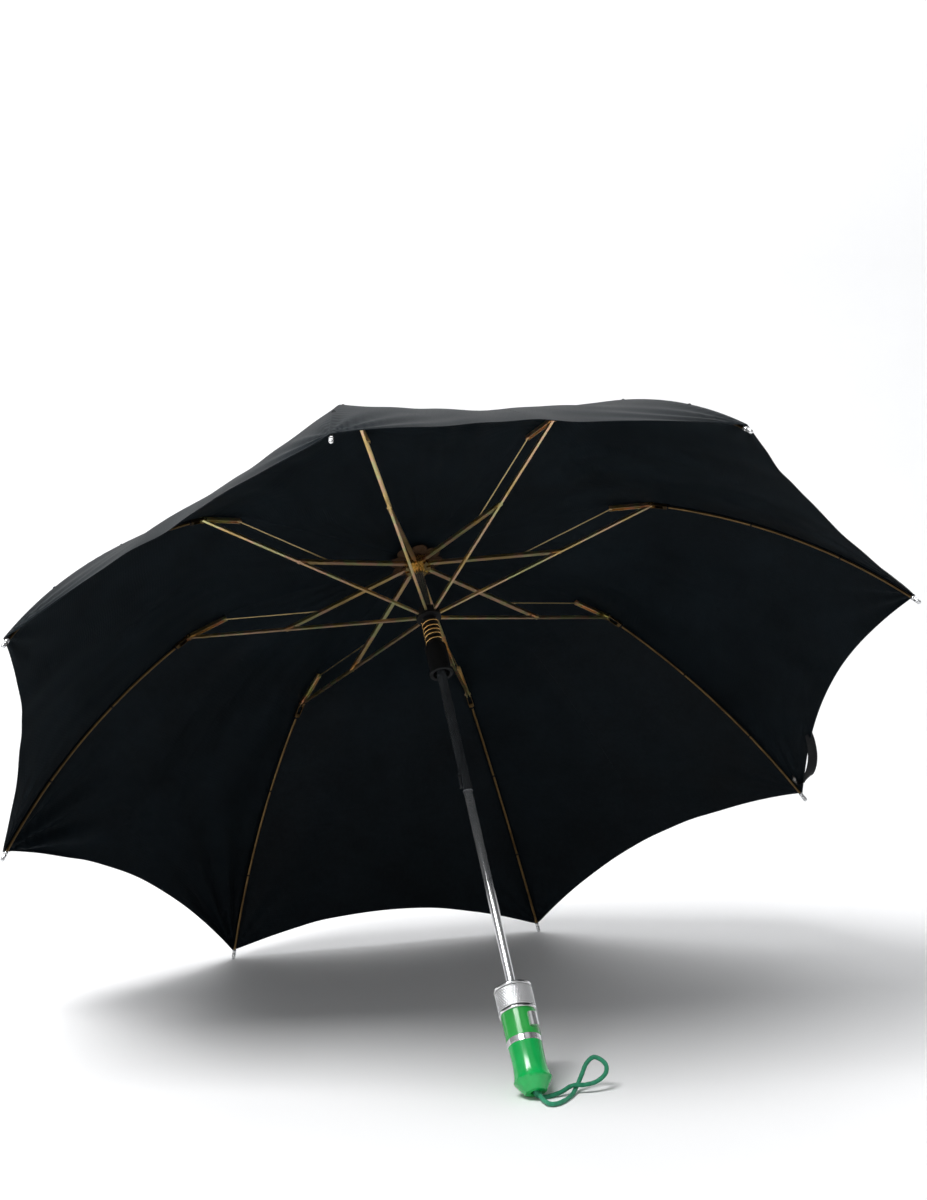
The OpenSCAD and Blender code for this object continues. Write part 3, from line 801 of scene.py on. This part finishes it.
# ---- Finishes of the CAD nodes that are shown ----

CAD_FINISH = {"top_rib": RIB_STEEL, "stretcher": RIB_STEEL, "elbow": RIB_STEEL, "outer_rib": SHADED_OUTER_STEEL,
              "link": LINK_WIRE, "crown": BRASS, "crown_wire": BRASS, "runner_wire": BRASS,
              "crown_cap": BLACK_PLASTIC, "runner": BLACK_PLASTIC, "upper_tube": BLACK_TUBE,
              "lower_tube": CHROME, "button": CHROME, "grip_ring": CHROME, "tube_catch": SPRING_STEEL,
              "latch": SPRING_STEEL, "grip_upper": GREEN_TOP, "grip_lower": GREEN}
EDGED = {"crown", "crown_cap", "runner", "button", "grip_ring", "grip_upper", "grip_lower", "lower_tube",
         "upper_tube"}

for name, node in frame["nodes"].items():
    kind = name.rsplit("_", 1)[0] if name[-1].isdigit() else name
    finish = CAD_FINISH.get(kind)
    if finish is None:
        continue
    node.data.materials.clear()
    node.data.materials.append(finish)
    if kind in EDGED:
        bevel = node.modifiers.new("soft_edges", "BEVEL")
        bevel.width = 0.25 * MM
        bevel.segments = 2
        bevel.limit_method = "ANGLE"
        bevel.angle_limit = math.radians(40)
        bevel.harden_normals = True

# ---- Stage: a pale floor that runs up into a backdrop, seen from above only ----

FLOOR_UP = Vector((0.2543, -0.614, 0.7472)).normalized()
LOOK = Vector((-0.0551, 0.8127, 0.5801))
FLOOR_BACK = (LOOK - FLOOR_UP * LOOK.dot(FLOOR_UP)).normalized()
FLOOR_RIGHT = FLOOR_BACK.cross(FLOOR_UP).normalized()
# The grip stands on the edge of its foot
FOOT_R = 9.5 * MM
FOOT_TURN = math.radians(112.5)
FOOT = Vector((FOOT_R * math.cos(FOOT_TURN), FOOT_R * math.sin(FOOT_TURN), 0))


def on_stage(right, back, up):
    return FOOT + FLOOR_RIGHT * right + FLOOR_BACK * back + FLOOR_UP * up


def stage_material(name, colour, rough):
    mat, tree, shader = new_material(name)
    where = coords(tree)
    mottle = noise(tree, where, 3, 4)
    light = tuple(min(1, c * 1.02) for c in colour)
    tree.links.new(ramp(tree, mottle, [(0.3, colour), (0.7, light)]), shader.inputs["Base Color"])
    shader.inputs["Roughness"].default_value = rough
    shader.inputs["Specular IOR Level"].default_value = 0.25
    out = next(n for n in tree.nodes if n.type == "OUTPUT_MATERIAL")
    clear = tree.nodes.new("ShaderNodeBsdfTransparent")
    mix = tree.nodes.new("ShaderNodeMixShader")
    geometry = tree.nodes.new("ShaderNodeNewGeometry")
    tree.links.new(geometry.outputs["Backfacing"], mix.inputs[0])
    tree.links.new(shader.outputs[0], mix.inputs[1])
    tree.links.new(clear.outputs[0], mix.inputs[2])
    tree.links.new(mix.outputs[0], out.inputs[0])
    return mat


SWEEP_START, SWEEP_R, WALL_H, HALF_WIDTH, FRONT = 1.1, 0.9, 3.2, 4.0, -3.5
profile = [(FRONT, 0.0)] + [(SWEEP_START + SWEEP_R * math.sin(a), SWEEP_R * (1 - math.cos(a)))
                            for a in np.linspace(0, math.pi / 2, 25)] + [(SWEEP_START + SWEEP_R, WALL_H)]
verts, faces = [], []
for back, up in profile:
    verts += [on_stage(-HALF_WIDTH, back, up), on_stage(HALF_WIDTH, back, up)]
for i in range(len(profile) - 1):
    faces.append((2 * i, 2 * i + 1, 2 * i + 3, 2 * i + 2))
floor = mesh_object("floor", verts, faces, stage_material("floor_paper", (0.90, 0.90, 0.905), 0.6))


def area_light(name, right, back, up, aim, size, power, colour=(1, 1, 1)):
    data = bpy.data.lights.new(name, "AREA")
    data.shape = "RECTANGLE"
    data.size, data.size_y = size
    data.energy = power
    data.color = colour
    obj = bpy.data.objects.new(name, data)
    bpy.context.scene.collection.objects.link(obj)
    obj.location = on_stage(right, back, up)
    obj.rotation_euler = (on_stage(*aim) - obj.location).to_track_quat("-Z", "Y").to_euler()
    return obj


area_light("key", -0.90, -0.65, 2.45, (0.05, 0.3, 0.0), (1.15, 1.0), 68)
area_light("front_fill", -1.2, -2.6, 1.0, (0.0, 0.3, 0.35), (1.6, 1.2), 5)
area_light("back_wash", 0.0, 0.9, 2.7, (-0.3, 2.0, 1.0), (3.0, 0.8), 22)

world = bpy.data.worlds.new("studio")
bpy.context.scene.world = world
world.use_nodes = True
sky = world.node_tree.nodes["Background"]
sky.inputs[0].default_value = (0.96, 0.98, 1.0, 1)
sky.inputs[1].default_value = 0.36
# Painted reflection: glossy rays alone see a painted pattern of bright bands between dark bands, so that bright
# metal reads as chrome
paint = world.node_tree
across = add(paint, "VectorMath", operation="DOT_PRODUCT")
across.inputs[1].default_value = FLOOR_RIGHT
paint.links.new(add(paint, "TexCoord").outputs["Generated"], across.inputs[0])
left_to_right = math_node(paint, "ADD", math_node(paint, "MULTIPLY", across.outputs["Value"], 0.5), 0.5)
REFLECTION_BANDS = [(0.0, 0.5), (0.18, 1.5), (0.33, 1.3), (0.40, 0.03), (0.50, 0.08), (0.56, 1.6), (0.70, 1.2),
         (0.78, 0.05), (1.0, 0.6)]
painted_reflection = ramp(paint, left_to_right, [(at, (tone, tone, tone)) for at, tone in REFLECTION_BANDS])
mirrored = paint.nodes.new("ShaderNodeMix")
mirrored.data_type = "RGBA"
mirrored.inputs["A"].default_value = (0.96, 0.98, 1.0, 1)
paint.links.new(add(paint, "LightPath").outputs["Is Glossy Ray"], mirrored.inputs["Factor"])
paint.links.new(painted_reflection, mirrored.inputs["B"])
paint.links.new(mirrored.outputs["Result"], sky.inputs[0])

# ---- Camera: low in front of the handle, looking up under the canopy ----

LENS_MM = 60.9
CAMERA_AT = Vector((0.1649, -1.7093, -0.6863))
CAMERA_RIGHT = Vector((0.9603, 0.2022, -0.192)).normalized()
CAMERA_UP = Vector((0.2733, -0.5465, 0.7916))
CAMERA_UP = (CAMERA_UP - CAMERA_RIGHT * CAMERA_RIGHT.dot(CAMERA_UP)).normalized()

camera_data = bpy.data.cameras.new("camera")
camera_data.lens = LENS_MM
camera_data.sensor_width = 36
camera_data.sensor_fit = "AUTO"
camera_data.shift_x = -0.008
camera_data.clip_end = 30
camera = bpy.data.objects.new("camera", camera_data)
bpy.context.scene.collection.objects.link(camera)
axes = Matrix((CAMERA_RIGHT, CAMERA_UP, CAMERA_RIGHT.cross(CAMERA_UP))).transposed()
camera.matrix_world = Matrix.Translation(CAMERA_AT) @ axes.to_4x4()
bpy.context.scene.camera = camera
bpy.context.scene.view_settings.view_transform = "Standard"
